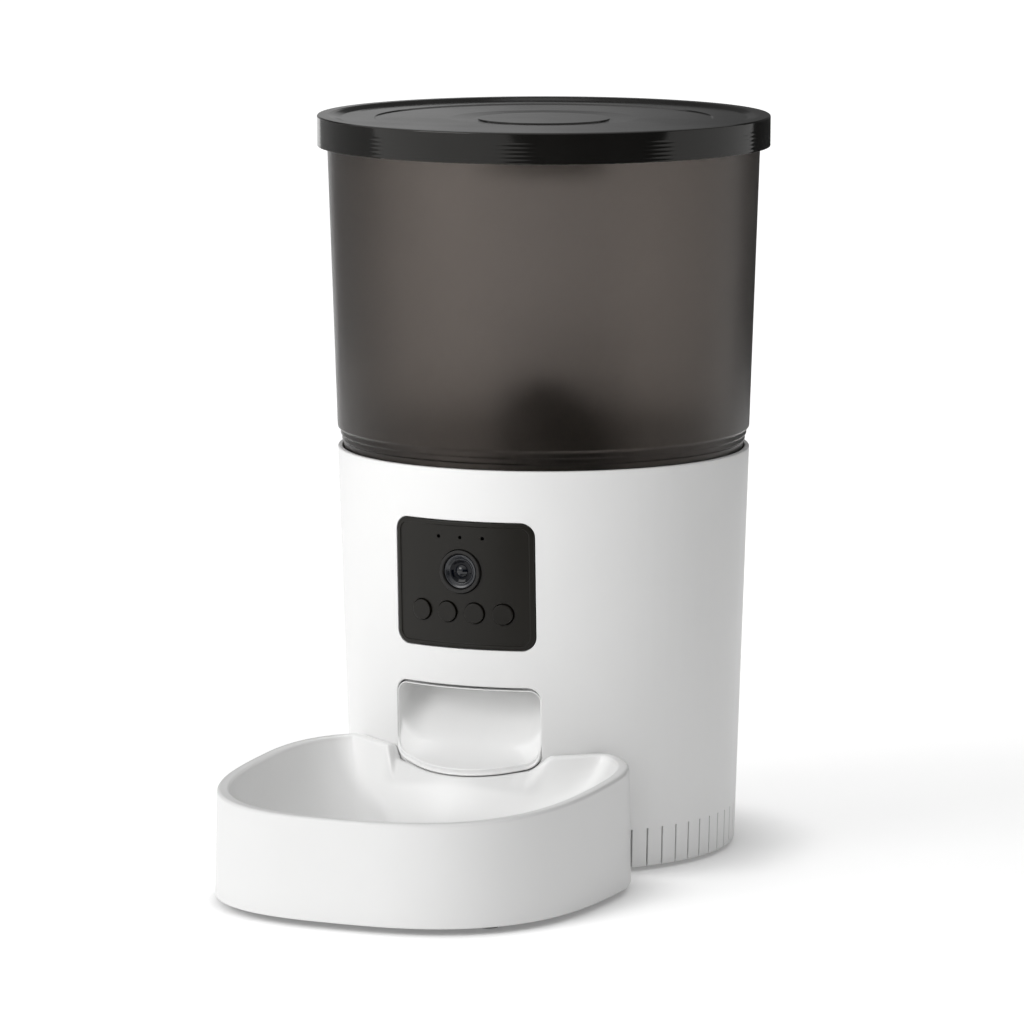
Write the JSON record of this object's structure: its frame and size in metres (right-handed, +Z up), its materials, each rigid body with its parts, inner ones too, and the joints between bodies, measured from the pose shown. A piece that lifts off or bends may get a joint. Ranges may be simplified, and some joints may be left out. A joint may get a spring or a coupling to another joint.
{
  "type": "automatic pet feeder",
  "caption": "Round automatic pet feeder: translucent hopper with lid on a tapered white body with camera panel, push buttons, food chute, metering rotor and pull-off bowl.",
  "frame": {"origin": "centre of the overall box, on the floor under the feet", "axes": "+Z up, along the hopper axis; the camera, chute and bowl face -Y; +X to the right seen from the front"},
  "size_m": [0.2016, 0.3178, 0.326],
  "materials": {
    "white_satin": "satin white moulded plastic",
    "light_grey_plastic": "matt light grey moulded plastic",
    "dark_grey_plastic": "matt dark grey moulded plastic",
    "smoke_clear": "smoke-grey translucent plastic, lightly frosted",
    "black_gloss": "glossy near-black plastic",
    "charcoal_matte": "fine matt charcoal plastic",
    "foot_rubber": "soft grey rubber",
    "seal_silicone": "translucent silicone",
    "steel": "plated steel",
    "brass": "turned brass",
    "gear_nylon": "natural nylon",
    "circuit_board": "green solder mask",
    "cable_film": "white film cable",
    "lens_glass": "coated dark lens glass"
  },
  "bodies": {
    "housing": {"body_shell": "white_satin", "base_plate": "light_grey_plastic", "base_feet": "foot_rubber", "base_screws": "steel", "battery_contacts": "steel", "battery_springs": "steel", "dispenser_deck": "light_grey_plastic", "deck_screws": "steel", "discharge_chute": "white_satin", "shaft_bush": "brass", "gearbox_tray": "dark_grey_plastic", "gearbox_screws": "steel", "idler_pin": "steel", "motor": "steel", "motor_screws": "steel", "main_board": "circuit_board", "board_parts": "charcoal_matte", "flat_cable": "cable_film", "speaker": "dark_grey_plastic", "speaker_cone": "charcoal_matte", "power_jack": "charcoal_matte", "camera_panel": "charcoal_matte", "lens_ring": "black_gloss", "lens_barrel": "charcoal_matte", "lens_glass": "lens_glass", "lens_holder": "dark_grey_plastic", "camera_board": "circuit_board", "key_board": "circuit_board", "key_switches": "charcoal_matte", "board_screws": "steel", "microphone": "steel", "light_pipes": "charcoal_matte"},
    "battery_door": {"battery_door": "light_grey_plastic"},
    "button_1": {"button_1": "charcoal_matte"},
    "button_2": {"button_2": "charcoal_matte"},
    "button_3": {"button_3": "charcoal_matte"},
    "button_4": {"button_4": "charcoal_matte"},
    "rotor": {"metering_rotor": "dark_grey_plastic", "agitator_cap": "dark_grey_plastic", "rotor_shaft": "steel", "rotor_gear": "gear_nylon"},
    "idler": {"idler_gear": "gear_nylon"},
    "pinion": {"motor_pinion": "brass", "motor_shaft": "steel"},
    "hopper": {"hopper": "smoke_clear", "outlet_cover": "dark_grey_plastic"},
    "lid": {"lid": "black_gloss", "lid_seal": "seal_silicone", "desiccant_box": "light_grey_plastic"},
    "desiccant_cover": {"desiccant_cover": "light_grey_plastic"},
    "bowl": {"bowl": "white_satin", "bowl_feet": "foot_rubber"}
  },
  "joints": [
    {"name": "hopper_lift", "type": "slide", "parent": "housing", "child": "hopper", "axis": [0, 0, 1], "range_m": [0, 0.08]},
    {"name": "lid_lift", "type": "slide", "parent": "hopper", "child": "lid", "axis": [0, 0, 1], "range_m": [0, 0.08]},
    {"name": "desiccant_twist", "type": "hinge", "parent": "lid", "child": "desiccant_cover", "pos_m": [0, 0.0581, 0.301], "axis": [0, 0, 1], "range_deg": [0, 40]},
    {"name": "bowl_pull", "type": "slide", "parent": "housing", "child": "bowl", "axis": [0, -1, 0], "range_m": [0, 0.08]},
    {"name": "rotor_spin", "type": "hinge", "parent": "housing", "child": "rotor", "pos_m": [0, 0.0581, 0.15], "axis": [0, 0, 1], "continuous": true},
    {"name": "idler_spin", "type": "hinge", "parent": "housing", "child": "idler", "pos_m": [0, 0.0837, 0.125], "axis": [0, 0, 1], "continuous": true},
    {"name": "pinion_spin", "type": "hinge", "parent": "housing", "child": "pinion", "pos_m": [0, 0.1093, 0.122], "axis": [0, 0, 1], "continuous": true},
    {"name": "battery_door_swing", "type": "hinge", "parent": "housing", "child": "battery_door", "pos_m": [0, 0.04625, 0.00285], "axis": [-1, 0, 0], "range_deg": [0, 80]},
    {"name": "button_1_press", "type": "slide", "parent": "housing", "child": "button_1", "axis": [0, 1, 0], "range_m": [0, 0.0008], "stiffness_N_per_m": 400},
    {"name": "button_2_press", "type": "slide", "parent": "housing", "child": "button_2", "axis": [0, 1, 0], "range_m": [0, 0.0008], "stiffness_N_per_m": 400},
    {"name": "button_3_press", "type": "slide", "parent": "housing", "child": "button_3", "axis": [0, 1, 0], "range_m": [0, 0.0008], "stiffness_N_per_m": 400},
    {"name": "button_4_press", "type": "slide", "parent": "housing", "child": "button_4", "axis": [0, 1, 0], "range_m": [0, 0.0008], "stiffness_N_per_m": 400}
  ],
  "couplings": [
    {"joint": "idler_spin", "follows": "rotor_spin", "ratio": -3},
    {"joint": "pinion_spin", "follows": "rotor_spin", "ratio": 9}
  ]
}
